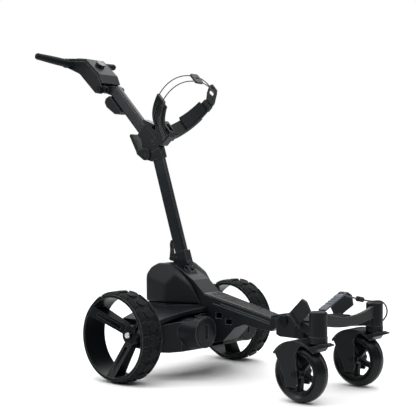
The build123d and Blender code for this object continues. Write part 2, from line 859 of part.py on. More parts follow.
# elastic cords from arm to arm: left, then away from the mast, and rising along the bag as they go
cord_radius = 2.2
elastic_rise = 0.45
elastic = [
    (-122, 118.2), (-115, 134), (-100, 154), (-76, 172), (-46, 184), (-12, 189.5), (22, 190), (54, 186),
    (82, 178), (106, 168), (plate_y + 1, 158),
]
elastic_low = {"bungee_outer": 6.0, "bungee_inner": -21.0}


def corner_radii(points):
    radii = []
    for before, here, after in zip(points, points[1:], points[2:]):
        one = Vector(*here) - Vector(*before)
        two = Vector(*after) - Vector(*here)
        turn = radians(one.get_angle(two))
        radii.append(0.45 * min(one.length, two.length) / tan(turn / 2))
    return radii


def cord(points, radius, name):
    radii = corner_radii(points)
    print(name, "radii", [round(r, 1) for r in radii])
    with BuildPart() as piece:
        with BuildLine():
            route = FilletPolyline(*points, radius=radii)
        with BuildSketch(Plane(origin=route @ 0, z_dir=route % 0)):
            Circle(radius)
        sweep(path=route)
    export_piece(piece, name)
    print(name, "length", round(route.length, 1), "fill", piece.part.volume / (pi * radius ** 2 * route.length))


for name, low in elastic_low.items():
    route_points = [cradle_point(y, away, low + elastic_rise * (away - tip_away)) for y, away in elastic]
    cord(route_points, cord_radius, name)

# slider that both cords run through
slider_spot = (20.0, 190.0)
slider_b = sum(elastic_low.values()) / 2 + elastic_rise * (slider_spot[1] - tip_away)
with BuildPart() as bungee_slider:
    slider_plane = Plane(
        origin=cradle_point(*slider_spot, slider_b), x_dir=(0, -1, 0), z_dir=(cos(bl), 0, sin(bl)))
    with BuildSketch(slider_plane.offset(-3.5)):
        RectangleRounded(38, 42, 5)
        SlotOverall(22, 6, mode=Mode.SUBTRACT)
    extrude(amount=7)
export_piece(bungee_slider, "bungee_slider")

# ---------------------------------------------------------------- handle console
console_top_line = [(-542, 1111), (-437, 1100), (-362, 1037), (-347, 1004)]
console_split = [(-545, 1101), (-441, 1090), (-371, 1031), (-358, 1002)]
console_under = [(-351, 992), (-366, 966), (-386, 970), (-430, 1010), (-470, 1046), (-512, 1064), (-548, 1078)]
cheek_in = 30.0
slope_dir = Vector(75, 0, -63).normalized()
slope_up = Vector(63, 0, 75).normalized()
dial_spot = (-408, 1075.6)
dial_plane = Plane(origin=(axle_x + dial_spot[0], 0, dial_spot[1]), x_dir=slope_dir, z_dir=slope_up)
deck_dir = Vector(105, 0, -11).normalized()
deck_up = Vector(11, 0, 105).normalized()
button_plane = Plane(origin=(axle_x - 516, 0, 1111 - 26 * 11 / 105), x_dir=deck_dir, z_dir=deck_up)
bar_spot = (-524.0, 1088.0)
dial_stem = 6.0
button_long = 34.0
button_wide = 15.0
button_fit = 0.4

with BuildPart() as console_top:
    with BuildSketch(side()):
        with BuildLine():
            Polyline(*console_top_line, *reversed(console_split), close=True)
        make_face()
    extrude(amount=console_half, both=True)
    fillet(console_top.edges().filter_by(Axis.X, tolerance=50).group_by(Axis.Z)[-1], 3)
    with BuildSketch(dial_plane.offset(-12)):
        Circle(dial_stem + 0.3)
    extrude(amount=20, mode=Mode.SUBTRACT)
    with BuildSketch(button_plane.offset(-7)):
        SlotOverall(button_long + 2 * button_fit, button_wide + 2 * button_fit)
    extrude(amount=14, mode=Mode.SUBTRACT)
    # lens pocket
    with BuildSketch(dial_plane.offset(-2)):
        with Locations((34, -28)):
            Circle(4.2)
    extrude(amount=10, mode=Mode.SUBTRACT)
export_piece(console_top, "console_top")

with BuildPart() as console_base:
    with BuildSketch(side()):
        with BuildLine():
            Polyline(*[(x - 0.15, z - 0.2) for x, z in console_split], *console_under, close=True)
        make_face()
    extrude(amount=console_half, both=True)
    # room for the neck between the cheeks
    with BuildSketch(side()):
        with Locations(tilt_pivot):
            Circle(22)
        with BuildLine():
            Polyline((-340, 940), (-340, 1030), (-384, 1022), (-398, 1008), (-406, 975), (-400, 940), close=True)
        make_face()
    extrude(amount=cheek_in, both=True, mode=Mode.SUBTRACT)
    # hollow for the board
    with BuildSketch(side()):
        with BuildLine():
            Polyline((-498, 1088), (-446, 1082), (-405, 1046), (-410, 1014), (-470, 1055), (-498, 1068), close=True)
        make_face()
    extrude(amount=console_half - 4, both=True, mode=Mode.SUBTRACT)
    with BuildSketch(side()):
        with Locations(bar_spot):
            Circle(bar_radius + 0.1)
    extrude(amount=60, both=True, mode=Mode.SUBTRACT)
    with BuildSketch(side()):
        with Locations(tilt_pivot):
            Circle(pin_radius)
    extrude(amount=60, both=True, mode=Mode.SUBTRACT)
    with BuildSketch(dial_plane.offset(-12)):
        Circle(dial_stem + 0.3)
    extrude(amount=12, mode=Mode.SUBTRACT)
export_piece(console_base, "console_base")

with BuildPart() as control_board:
    with BuildSketch(side()):
        with BuildLine():
            Polyline((-492, 1070), (-452, 1066), (-452, 1068.4), (-492, 1072.4), close=True)
        make_face()
    extrude(amount=console_half - 8, both=True)
    with BuildSketch(side()):
        with Locations((-478, 1074)):
            Rectangle(10, 7)
    extrude(amount=10, both=True)
export_piece(control_board, "control_board")

with BuildPart() as speed_dial:
    with BuildSketch(dial_plane.offset(gap)):
        Circle(17.5)
        with PolarLocations(19.3, 9):
            Circle(3.6, mode=Mode.SUBTRACT)
    extrude(amount=11)
    fillet(speed_dial.faces().sort_by(Axis((0, 0, 0), slope_up))[-1].edges(), 1.2)
    with BuildSketch(dial_plane.offset(-10)):
        Circle(dial_stem)
    extrude(amount=10 + gap + 0.1)
export_piece(speed_dial, "speed_dial")

with BuildPart() as power_button:
    with BuildSketch(button_plane.offset(-4)):
        SlotOverall(button_long, button_wide)
    extrude(amount=9)
    fillet(power_button.faces().sort_by(Axis((0, 0, 0), deck_up))[-1].edges(), 1.5)
export_piece(power_button, "power_button")

with BuildPart() as tilt_bolt:
    with BuildSketch(side(0, *tilt_pivot)):
        Circle(pin_radius)
    extrude(amount=-(console_half + 18))
    with BuildSketch(side(0, *tilt_pivot)):
        Circle(pin_radius)
    extrude(amount=console_half + 1)
    with BuildSketch(side(-console_half - 0.1, *tilt_pivot)):
        Circle(9)
    extrude(amount=5)
    with BuildSketch(side(-console_half - 5.1, *tilt_pivot)):
        SlotOverall(13, 2.4, rotation=90)
    extrude(amount=-1.6, mode=Mode.SUBTRACT)
export_piece(tilt_bolt, "tilt_bolt")

with BuildPart() as clamp_knob:
    with BuildSketch(side(console_half + 0.4, *tilt_pivot)):
        Circle(10)
    extrude(amount=-6)
    with BuildSketch(side(console_half + 6.4, *tilt_pivot)):
        Circle(14)
        with PolarLocations(16.5, 6):
            Circle(4, mode=Mode.SUBTRACT)
    extrude(amount=-20)
    fillet(clamp_knob.faces().sort_by(Axis.Y)[-1].edges(), 2)
    with BuildSketch(side(console_half, *tilt_pivot)):
        Circle(pin_radius + pin_fit)
    extrude(amount=-20, mode=Mode.SUBTRACT)
export_piece(clamp_knob, "clamp_knob")

grip_start = 60.0
grip_sweep = (-12.0, 14.0)
bend = 52.0
grip_ends = {}
for name, s in sides.items():
    root = Vector(axle_x + bar_spot[0], s * bend, bar_spot[1])
    tip = Vector(axle_x + bar_spot[0] + grip_sweep[0], s * handle_span, bar_spot[1] + grip_sweep[1])
    grip_ends[name] = (root, tip)
with BuildPart() as handlebar:
    with BuildLine():
        left_root, left_tip = grip_ends["left"]
        right_root, right_tip = grip_ends["right"]
        left_end = left_root + (left_tip - left_root) * 0.94
        right_end = right_root + (right_tip - right_root) * 0.94
        bar_path = FilletPolyline(left_end, left_root, right_root, right_end, radius=60)
    with BuildSketch(Plane(origin=bar_path @ 0, z_dir=bar_path % 0)):
        Circle(bar_radius)
    sweep(path=bar_path)
export_piece(handlebar, "handlebar")

for name, s in sides.items():
    root, tip = grip_ends[name]
    run = (tip - root).normalized()
    length = (tip - root).length
    begin = (grip_start - bend) / (handle_span - bend) * length
    grip_plane = Plane(origin=root, x_dir=run, z_dir=run.cross(Vector(0, 0, 1)))
    with BuildPart() as grip:
        with BuildSketch(grip_plane):
            with BuildLine():
                Polyline(
                    (begin, 0), (begin, grip_radius_in + 2), (begin + 7, grip_radius_in + 2),
                    (begin + 8.5, grip_radius_in), (length - 6, grip_radius_out), (length - 1.5, grip_radius_out - 3),
                    (length, grip_radius_out - 7), (length, 0), close=True,
                )
            make_face()
        revolve(axis=Axis(root, run))
        with BuildSketch(Plane(origin=root, z_dir=run)):
            Circle(bar_radius + 0.1)
        extrude(amount=0.94 * length + 0.1, mode=Mode.SUBTRACT)
    export_piece(grip, f"grip_{name}")

# ---------------------------------------------------------------- front section
swing_clear = 190.0
with BuildPart() as front_yoke:
    # arms out to the caster housings
    for s in sides.values():
        with BuildSketch(deck(196)):
            with Locations((wheelbase - 8, s * (caster_y - 6))):
                Circle(20)
            with Locations((512, s * 6)):
                Circle(31)
            make_hull()
        extrude(amount=27)
        with BuildSketch(deck(housing_low)):
            with Locations((wheelbase, s * caster_y)):
                Circle(housing_radius)
        extrude(amount=housing_high - housing_low)
    # keel between the arms
    with BuildSketch(deck(161)):
        with Locations((500, 0)):
            Circle(37)
        with Locations((520, 12), (520, -12)):
            Circle(30)
        make_hull()
    extrude(amount=40)
    # cheeks beside the beam's nose
    for s in sides.values():
        with BuildSketch(side(s * 30.2)):
            with BuildLine():
                Polyline((426, 166), (440, 160), (520, 160), (520, 223), (462, 228), (438, 226), (426, 214),
                         close=True)
            make_face()
        extrude(amount=-s * 7)
    with BuildSketch(side()):
        with Locations(front_hinge):
            Circle(hinge_nose + 1.2)
        with BuildLine():
            Polyline((420, 100), (420, 240), (front_hinge[0], 240), (front_hinge[0] + 22, 220),
                     (front_hinge[0] + 22, 190), (490, 150), (490, 100), close=True)
        make_face()
    extrude(amount=30.2, both=True, mode=Mode.SUBTRACT)
    # round the housings' tops, bore them for the stems
    fillet(front_yoke.edges().filter_by(GeomType.CIRCLE).group_by(Axis.Z)[-1], 6)
    for s in sides.values():
        with BuildSketch(deck(housing_low - 1)):
            with Locations((wheelbase, s * caster_y)):
                Circle(stem_radius + 4 + 0.1)
        extrude(amount=housing_high - housing_low - 9, mode=Mode.SUBTRACT)
    with BuildSketch(side()):
        with Locations(front_hinge):
            Circle(pin_radius + pin_fit)
    extrude(amount=60, both=True, mode=Mode.SUBTRACT)
    # pocket for each pin head
    for s in sides.values():
        with BuildSketch(side(s * 37.6, *front_hinge)):
            Circle(15.4)
        extrude(amount=-s * 8, mode=Mode.SUBTRACT)
export_piece(front_yoke, "front_yoke")

with BuildPart() as caster_bushes:
    for s in sides.values():
        for z in (housing_low + 1, housing_high - 24):
            with BuildSketch(deck(z)):
                with Locations((wheelbase, s * caster_y)):
                    Circle(stem_radius + 4)
                    Circle(stem_radius + pin_fit, mode=Mode.SUBTRACT)
            extrude(amount=12)
export_piece(caster_bushes, "caster_bushes")

with BuildPart() as crossbar:
    reach = caster_y - housing_radius + 6
    with BuildSketch(front(wheelbase + 2)):
        with BuildLine():
            top = ThreePointArc((-reach, 259), (0, 238), (reach, 259))
            Line(top @ 1, (reach, 222))
            low_edge = ThreePointArc((reach, 222), (0, 209), (-reach, 222))
            Line(low_edge @ 1, top @ 0)
        make_face()
    extrude(amount=10)
    for s in sides.values():
        with BuildSketch(deck(180)):
            with Locations((wheelbase, s * caster_y)):
                Circle(housing_radius + 0.1)
        extrude(amount=100, mode=Mode.SUBTRACT)
export_piece(crossbar, "crossbar")

flap_lean = radians(14)
with BuildPart() as lower_cradle:
    with BuildSketch(deck(223.3)):
        with BuildLine():
            Polyline(
                (520, -40), (562, -107), (571, -107), (573, -103), (606, -103), (606, 103), (573, 103), (571, 107),
                (562, 107), (520, 40), close=True,
            )
        make_face()
    extrude(amount=5)
    for s in sides.values():
        flap = Plane(origin=(axle_x, s * 104, 225), x_dir=(1, 0, 0), z_dir=(0, -cos(flap_lean), s * sin(flap_lean)))
        with BuildSketch(flap):
            with BuildLine():
                Polyline((528, 22), (558, -20), (564, -16), (568, -1), (608, 34), (598, 64), (584, 72), close=True)
            make_face()
        extrude(amount=-s * 7)
        with BuildSketch(flap):
            with BuildLine():
                Polyline((534, 23), (558, -13), (562, -9), (539, 27), close=True)
            make_face()
        extrude(amount=-s * 12)
export_piece(lower_cradle, "lower_cradle")

with BuildPart() as bag_strap:
    with BuildSketch(front(632)):
        with BuildLine():
            Polyline((-112, 262), (-60, 282), (4, 305), (2.2, 310), (-62, 287), (-114, 267), close=True)
        make_face()
    extrude(amount=26)
    with BuildSketch(deck(260)):
        with Locations((645, -10)):
            SlotOverall(18, 12)
    extrude(amount=80, mode=Mode.SUBTRACT)
export_piece(bag_strap, "bag_strap")

# elastic from the strap's eye through the toggle, over the left housing and down its outer side
strap_cord_radius = 2.5
strap_route = [
    (axle_x + 646, 4, 299), (axle_x + 649, 32, 291), (axle_x + 654, 62, 284.5), (axle_x + 660, 94, 277.5),
    (axle_x + 664, 122, 272), (axle_x + 667, 146, 270.5), (axle_x + 673, 172, 270), (axle_x + 680, 188, 257),
    (axle_x + 684, 193, 238), (axle_x + 682, 188, 219), (axle_x + 675.8, 178, 208),
]
cord(strap_route, strap_cord_radius, "strap_cord")

with BuildPart() as strap_toggle:
    toggle_start = Vector(axle_x + 654, 62, 284.5)
    toggle_run = (Vector(axle_x + 660, 94, 277.5) - toggle_start).normalized()
    with BuildSketch(Plane(origin=toggle_start, z_dir=toggle_run)):
        Circle(8)
    extrude(amount=28)
    fillet(strap_toggle.edges().filter_by(GeomType.CIRCLE), 3)
export_piece(strap_toggle, "strap_toggle")

# ---------------------------------------------------------------- casters
crown_in = 89.5
crown_out = 95.0


def on_arc(radius, turn):
    return (radius * cos(radians(turn)), radius * sin(radians(turn)))


for name, s in sides.items():
    mid = s * caster_y
    wheel_x = wheelbase - caster_trail
    with BuildPart() as fork:
        with BuildSketch(deck(swing_clear - 13)):
            with Locations((wheelbase, mid)):
                Circle(housing_radius + 1)
        extrude(amount=13 + housing_low - swing_clear - 1)
        with BuildSketch(deck(swing_clear)):
            with Locations((wheelbase, mid)):
                Circle(stem_radius)
        extrude(amount=housing_high - swing_clear - 12)
        # crown over the wheel, with a beak in front
        with BuildSketch(side(mid, wheel_x, front_radius)):
            with BuildLine():
                over = ThreePointArc(on_arc(crown_out, 146), on_arc(crown_out, 100), on_arc(crown_out, 58))
                Polyline(over @ 1, (80, 91), (109, 91), (105, 86), (72, 76), on_arc(crown_in, 46))
                under = ThreePointArc(on_arc(crown_in, 46), on_arc(crown_in, 100), on_arc(crown_in, 146))
                Line(under @ 1, over @ 0)
            make_face()
        extrude(amount=front_half_width + 8, both=True)
        with BuildSketch(deck(0), mode=Mode.PRIVATE) as crown_plan:
            with BuildLine():
                Polyline(
                    (wheel_x - 90, mid - 30), (wheel_x - 40, mid - 37), (wheel_x + 50, mid - 37),
                    (wheel_x + 74, mid - 30), (wheel_x + 112, mid - 4), (wheel_x + 112, mid + 4),
                    (wheel_x + 74, mid + 30), (wheel_x + 50, mid + 37), (wheel_x - 40, mid + 37),
                    (wheel_x - 90, mid + 30), close=True)
            make_face()
        extrude(crown_plan.sketch, amount=300, mode=Mode.INTERSECT)
        # arms down to the axle
        for t in (-1, 1):
            with BuildSketch(side(mid + t * (front_half_width + 1.5), wheel_x, front_radius)):
                with BuildLine():
                    Polyline((-68, 56), (-50, 76), (-20, 90), (24, 90), (4, 60), (10, -20), (4, -38), (-26, -38),
                             (-34, -20), (-50, 20), close=True)
                make_face()
            extrude(amount=-t * 6.5)
        with BuildSketch(side(mid, wheel_x, front_radius)):
            Circle(front_axle_radius)
        extrude(amount=60, both=True, mode=Mode.SUBTRACT)
        # lightening slots in the crown
        with BuildSketch(deck(100)):
            with Locations((wheel_x - 38, mid - 20), (wheel_x - 38, mid + 20), (wheel_x - 4, mid - 16),
                           (wheel_x - 4, mid + 16)):
                SlotOverall(26, 10)
        extrude(amount=120, mode=Mode.SUBTRACT)
    export_piece(fork, f"caster_fork_{name}")

    with BuildPart() as front_tyre:
        with BuildSketch(turned(wheel_x, mid, front_radius)):
            with BuildLine():
                tread = ThreePointArc(
                    (-front_half_width, front_rim_radius + 9), (0, front_radius),
                    (front_half_width, front_rim_radius + 9))
                Polyline(tread @ 1, (22, front_rim_radius), (-22, front_rim_radius), tread @ 0)
            make_face()
        revolve(axis=across(wheel_x, front_radius))
    export_piece(front_tyre, f"front_tyre_{name}")

    with BuildPart() as front_rim:
        with BuildSketch(turned(wheel_x, mid, front_radius)):
            with BuildLine():
                Polyline((-22, front_rim_radius - 0.2), (22, front_rim_radius - 0.2), (22, front_rim_radius - 5),
                         (-22, front_rim_radius - 5), close=True)
            make_face()
            with BuildLine():
                Polyline((-27, 5.1), (27, 5.1), (27, 15), (-27, 15), close=True)
            make_face()
        revolve(axis=across(wheel_x, front_radius))
        with BuildSketch(side(mid, wheel_x, front_radius)):
            with PolarLocations(35, 5, start_angle=50):
                Rectangle(46, 14)
        extrude(amount=7, both=True)
        with BuildSketch(side(mid, wheel_x, front_radius)):
            Circle(front_axle_radius + pin_fit)
        extrude(amount=40, both=True, mode=Mode.SUBTRACT)
    export_piece(front_rim, f"front_rim_{name}")

    with BuildPart() as front_axle:
        with BuildSketch(side(mid, wheel_x, front_radius)):
            Circle(front_axle_radius)
        extrude(amount=front_half_width + 8, both=True)
        for t in (-1, 1):
            with BuildSketch(side(mid + t * (front_half_width + 8), wheel_x, front_radius)):
                Circle(9)
            extrude(amount=-t * 4)
    export_piece(front_axle, f"front_axle_{name}")
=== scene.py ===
import math

import bmesh
import bpy
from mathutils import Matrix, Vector


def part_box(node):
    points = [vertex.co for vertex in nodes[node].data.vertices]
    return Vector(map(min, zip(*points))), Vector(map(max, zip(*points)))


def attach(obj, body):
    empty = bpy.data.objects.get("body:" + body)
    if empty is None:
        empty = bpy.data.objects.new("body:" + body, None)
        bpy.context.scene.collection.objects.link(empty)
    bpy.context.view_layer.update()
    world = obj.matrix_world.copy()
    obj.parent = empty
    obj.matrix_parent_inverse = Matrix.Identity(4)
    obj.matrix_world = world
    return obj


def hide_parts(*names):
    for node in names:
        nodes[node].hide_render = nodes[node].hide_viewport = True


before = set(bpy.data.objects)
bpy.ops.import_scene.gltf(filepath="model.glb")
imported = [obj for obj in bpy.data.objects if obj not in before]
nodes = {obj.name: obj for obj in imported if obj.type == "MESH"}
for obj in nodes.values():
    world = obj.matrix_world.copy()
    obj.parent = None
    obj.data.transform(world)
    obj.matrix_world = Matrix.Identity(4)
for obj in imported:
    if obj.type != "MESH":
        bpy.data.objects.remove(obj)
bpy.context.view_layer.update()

mm = 0.001
waveScale = 0.314  # a wave texture of this scale repeats once in every metre


# A colour as a screen shows it, turned to the linear values that a shader mixes.
def linear(hexColour):
    parts = [int(hexColour[i:i + 2], 16) / 255 for i in (1, 3, 5)]
    return tuple(p / 12.92 if p <= 0.04045 else ((p + 0.055) / 1.055) ** 2.4 for p in parts) + (1.0,)


# Adds one node. A setting is a socket's value where the node has that socket, and otherwise a property.
def addNode(tree, kind, settings=None, links=None):
    node = tree.nodes.new(kind)
    for key, value in (settings or {}).items():
        if isinstance(key, int) or key in node.inputs:
            node.inputs[key].default_value = value
        else:
            setattr(node, key, value)
    for key, source in (links or {}).items():
        tree.links.new(source, node.inputs[key])
    return node


# A level view from the front right, at half the trolley's height; degrees, with lens and sensor in millimetres.
cameraView = {
    "place": (2.0365, -2.3417, 0.5882), "azimuth": 40.51, "pitch": -0.642,
    "lens": 79.93, "sensor": 36.0, "farClip": 60}


def makeCamera(view):
    lens = bpy.data.cameras.new("studioCamera")
    lens.lens = view["lens"]
    lens.sensor_width = view["sensor"]
    lens.clip_end = view["farClip"]
    camera = bpy.data.objects.new("studioCamera", lens)
    camera.location = view["place"]
    turn, tilt = math.radians(view["azimuth"]), math.radians(view["pitch"])
    aim = Vector((-math.sin(turn) * math.cos(tilt), math.cos(turn) * math.cos(tilt), math.sin(tilt)))
    camera.rotation_euler = aim.to_track_quat("-Z", "Y").to_euler()
    bpy.context.scene.collection.objects.link(camera)
    bpy.context.scene.camera = camera


makeCamera(cameraView)
print("camera placed")


# Cords are smooth splines between the points where each is held.
# The upper cradle leans with the mast's bracket: its foot's place in millimetres, and its lean in degrees.
cradleFrame = {"x": -156.5, "z": 845.0, "lean": 42.2}
# Each elastic runs from arm tip to arm tip. Its spots are (across, out from the mast); it rises on the way out.
elasticCords = {
    "spots": [(-122, 118.2), (-115, 134), (-100, 154), (-76, 172), (-46, 184), (-12, 189.5),
              (22, 190), (54, 186), (82, 178), (106, 168), (124, 158)],
    "rise": 0.45, "from": 118, "low": {"bungee_outer": 6, "bungee_inner": -21}, "radius": 1.9}
# The strap's cord goes from its eye, over the left caster housing and down its outer side.
strapCord = {
    "spots": [(564.5, 4, 299), (567.5, 32, 291), (572.5, 62, 284.5), (578.5, 94, 277.5),
              (582.5, 122, 272), (585.5, 146, 270.5), (591.5, 172, 270), (598.5, 188, 257),
              (602.5, 193, 238), (600.5, 188, 219), (594.3, 178, 208)],
    "radius": 2.5}
splineSteps = {"round": 4, "along": 10, "order": 3}


# A spot in the bag cradle's own leaning frame: across it, out from its foot, and square to it.
def cradleSpot(across, away, square):
    lean = math.radians(cradleFrame["lean"])
    return (cradleFrame["x"] + away * math.cos(lean) - square * math.sin(lean), across,
            cradleFrame["z"] + away * math.sin(lean) + square * math.cos(lean))


def splineCord(name, spots, radius):
    curve = bpy.data.curves.new(name, "CURVE")
    curve.dimensions = "3D"
    curve.bevel_depth = 1.0  # times each point's own radius
    curve.bevel_resolution = splineSteps["round"]
    curve.resolution_u = splineSteps["along"]
    curve.use_fill_caps = True
    spline = curve.splines.new("NURBS")
    spline.points.add(len(spots) - 1)
    for point, spot in zip(spline.points, spots):
        point.co = (*(v * mm for v in spot), 1.0)
        point.radius = radius * mm
    spline.order_u = splineSteps["order"]
    spline.use_endpoint_u = True
    cord = bpy.data.objects.new(name, curve)
    bpy.context.scene.collection.objects.link(cord)
    return cord


cords = {}
for cordNode, low in elasticCords["low"].items():
    spots = [cradleSpot(y, away, low + elasticCords["rise"] * (away - elasticCords["from"]))
             for y, away in elasticCords["spots"]]
    cords[cordNode] = splineCord(cordNode + "_sheath", spots, elasticCords["radius"])
    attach(cords[cordNode], "upper_mast")
    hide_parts(cordNode)
cords["strap_cord"] = splineCord("strap_cord_sheath", strapCord["spots"], strapCord["radius"])
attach(cords["strap_cord"], "front_section")
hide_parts("strap_cord")
print("cords laid")


# A round pale floor under one wide softbox, with a key and two strips that draw the edges; metres and watts.
studio = {
    "floor": 3.2, "floorSides": 96, "floorDrop": 0.0005, "floorTone": "#f7f7f7",
    "cloudScale": 3.0, "dull": (0.28, 0.36),
    "sky": "#ffffff", "skyLight": 0.12, "skySeen": 1.0,
    "boxes": {
        "overhead": {"place": (0.0, 0.0, 3.3), "aim": (0.0, 0.0, 0.0), "size": (8.0, 8.0), "power": 600},
        "leftKey": {"place": (-2.1, -2.4, 1.9), "aim": (0.0, 0.0, 0.5), "size": (0.6, 1.6), "power": 34},
        "rightStrip": {"place": (2.3, 2.5, 1.1), "aim": (0.2, 0.0, 0.3), "size": (0.18, 1.5), "power": 12},
        "backStrip": {"place": (-1.7, 2.4, 2.0), "aim": (0.0, 0.0, 0.3), "size": (2.6, 0.3), "power": 12}}}


def makeStudio(look):
    floorMesh = bmesh.new()
    bmesh.ops.create_circle(floorMesh, cap_ends=True, segments=look["floorSides"], radius=look["floor"])
    mesh = bpy.data.meshes.new("studio_floor")
    floorMesh.to_mesh(mesh)
    floorMesh.free()
    floor = bpy.data.objects.new("studio_floor", mesh)
    floor.location.z = -look["floorDrop"]
    bpy.context.scene.collection.objects.link(floor)
    # Painted studio boards: pale, smooth and dull, with a faint cloudiness in the sheen.
    paint = bpy.data.materials.new("satinStudioPaint")
    paint.use_nodes = True
    tree = paint.node_tree
    shader = tree.nodes["Principled BSDF"]
    shader.inputs["Base Color"].default_value = linear(look["floorTone"])
    where = addNode(tree, "ShaderNodeTexCoord").outputs["Object"]
    cloud = addNode(tree, "ShaderNodeTexNoise", {"Scale": look["cloudScale"], "Detail": 3.0}, {"Vector": where})
    sheen = addNode(tree, "ShaderNodeMapRange", {"To Min": look["dull"][0], "To Max": look["dull"][1]},
                    {"Value": cloud.outputs["Fac"]})
    tree.links.new(sheen.outputs["Result"], shader.inputs["Roughness"])
    mesh.materials.append(paint)
    for name, box in look["boxes"].items():
        light = bpy.data.lights.new(name, "AREA")
        light.shape = "RECTANGLE"
        light.size, light.size_y = box["size"]
        light.energy = box["power"]
        holder = bpy.data.objects.new(name, light)
        holder.location = box["place"]
        holder.rotation_euler = (Vector(box["aim"]) - Vector(box["place"])).to_track_quat("-Z", "Y").to_euler()
        bpy.context.scene.collection.objects.link(holder)
    world = bpy.data.worlds.new("studioAir")
    world.use_nodes = True
    air = world.node_tree
    air.nodes.clear()
    # The backdrop looks white, and lights the trolley more gently than it looks.
    dim = addNode(air, "ShaderNodeBackground", {"Color": linear(look["sky"]), "Strength": look["skyLight"]})
    bright = addNode(air, "ShaderNodeBackground", {"Color": linear(look["sky"]), "Strength": look["skySeen"]})
    seen = addNode(air, "ShaderNodeLightPath").outputs["Is Camera Ray"]
    both = addNode(air, "ShaderNodeMixShader", None, {0: seen, 1: dim.outputs[0], 2: bright.outputs[0]})
    addNode(air, "ShaderNodeOutputWorld", None, {"Surface": both.outputs[0]})
    bpy.context.scene.world = world
    bpy.context.scene.view_settings.view_transform = "Standard"


makeStudio(studio)
print("studio lit")


# Starts a material, and gives back it, its tree and its shader, with the place on the piece, a normal that is
# rounded at the corners, and a mask that is 1 on them.
def startMaterial(name, edgeRadius):
    material = bpy.data.materials.new(name)
    material.use_nodes = True
    tree = material.node_tree
    shader = tree.nodes["Principled BSDF"]
    where = addNode(tree, "ShaderNodeTexCoord").outputs["Object"]
    rounded = addNode(tree, "ShaderNodeBevel", {"samples": 4, "Radius": edgeRadius * mm}).outputs["Normal"]
    flat = addNode(tree, "ShaderNodeNewGeometry").outputs["Normal"]
    turn = addNode(tree, "ShaderNodeVectorMath", {"operation": "DOT_PRODUCT"}, {0: rounded, 1: flat})
    edge = addNode(tree, "ShaderNodeMapRange", {"From Min": 0.99, "From Max": 0.8},
                   {"Value": turn.outputs["Value"]})
    return material, tree, shader, where, rounded, edge.outputs["Result"]


# Colour that drifts between two near tones over a real distance in millimetres, and pales on every edge: partly
# edge wear, partly a painted highlight.
def tonedColour(tree, shader, where, edge, look):
    drift = addNode(tree, "ShaderNodeTexNoise", {"Scale": 1 / (look["patch"] * mm), "Detail": 4.0},
                    {"Vector": where})
    tones = addNode(tree, "ShaderNodeMix",
                    {"data_type": "RGBA", 6: linear(look["tone"]), 7: linear(look["drift"])},
                    {0: drift.outputs["Fac"]})
    # The pale edge colour is partly scuffing and partly a painted highlight: the light line a softbox would
    # draw on each rounded edge.
    scuffAndHighlightMask = addNode(tree, "ShaderNodeMath", {"operation": "MULTIPLY", 1: look["scuffAndHighlightWeight"]}, {0: edge})
    scuffAndHighlight = addNode(tree, "ShaderNodeMix", {"data_type": "RGBA", 7: linear(look["scuffAndHighlight"])},
                   {0: scuffAndHighlightMask.outputs[0], 6: tones.outputs[2]})
    tree.links.new(scuffAndHighlight.outputs[2], shader.inputs["Base Color"])
    dull = addNode(tree, "ShaderNodeMapRange", {"To Min": look["rough"][0], "To Max": look["rough"][1]},
                   {"Value": drift.outputs["Fac"]})
    tree.links.new(dull.outputs["Result"], shader.inputs["Roughness"])


# Moulded plastic: one body of colour with an even spark-eroded grain and soft corners, paler on every edge, as
# wear and as a painted highlight.
# Real spark grain is 0.1 to 0.3 mm wide, too fine to show, so each grain is drawn several times as coarse.
def mouldedPlastic(name, look):
    material, tree, shader, where, rounded, edge = startMaterial(name, look["corner"])
    tonedColour(tree, shader, where, edge, look)
    grain = addNode(tree, "ShaderNodeTexNoise", {"Scale": 1 / (look["grain"] * mm), "Detail": 2.0},
                    {"Vector": where})
    bump = addNode(tree, "ShaderNodeBump", {"Strength": look["relief"], "Distance": 0.12 * mm},
                   {"Height": grain.outputs["Fac"], "Normal": rounded})
    tree.links.new(bump.outputs["Normal"], shader.inputs["Normal"])
    shader.inputs["IOR"].default_value = look["ior"]
    shader.inputs["Specular IOR Level"].default_value = look["shine"]
    shader.inputs["Coat Weight"].default_value = look.get("coat", 0.0)
    shader.inputs["Coat Roughness"].default_value = look.get("coatRough", 0.05)
    return material


# Rubber: dull, cloudy with bloom, with fine pitting and a pale band on every edge, part powdery scuff and part
# painted highlight.
# The pits are drawn a few times coarser than real ones, which are about 0.4 mm apart.
def mouldedRubber(name, look):
    material, tree, shader, where, rounded, edge = startMaterial(name, look["corner"])
    tonedColour(tree, shader, where, edge, look)
    pits = addNode(tree, "ShaderNodeTexVoronoi", {"Scale": 1 / (look["pit"] * mm)}, {"Vector": where})
    bloom = addNode(tree, "ShaderNodeTexNoise", {"Scale": 1 / (look["pit"] * 3 * mm), "Detail": 3.0},
                    {"Vector": where})
    skin = addNode(tree, "ShaderNodeMath", {"operation": "MULTIPLY"},
                   {0: pits.outputs["Distance"], 1: bloom.outputs["Fac"]})
    bump = addNode(tree, "ShaderNodeBump", {"Strength": look["relief"], "Distance": 0.25 * mm},
                   {"Height": skin.outputs[0], "Normal": rounded})
    tree.links.new(bump.outputs["Normal"], shader.inputs["Normal"])
    shader.inputs["IOR"].default_value = look["ior"]
    shader.inputs["Specular IOR Level"].default_value = look["shine"]
    return material


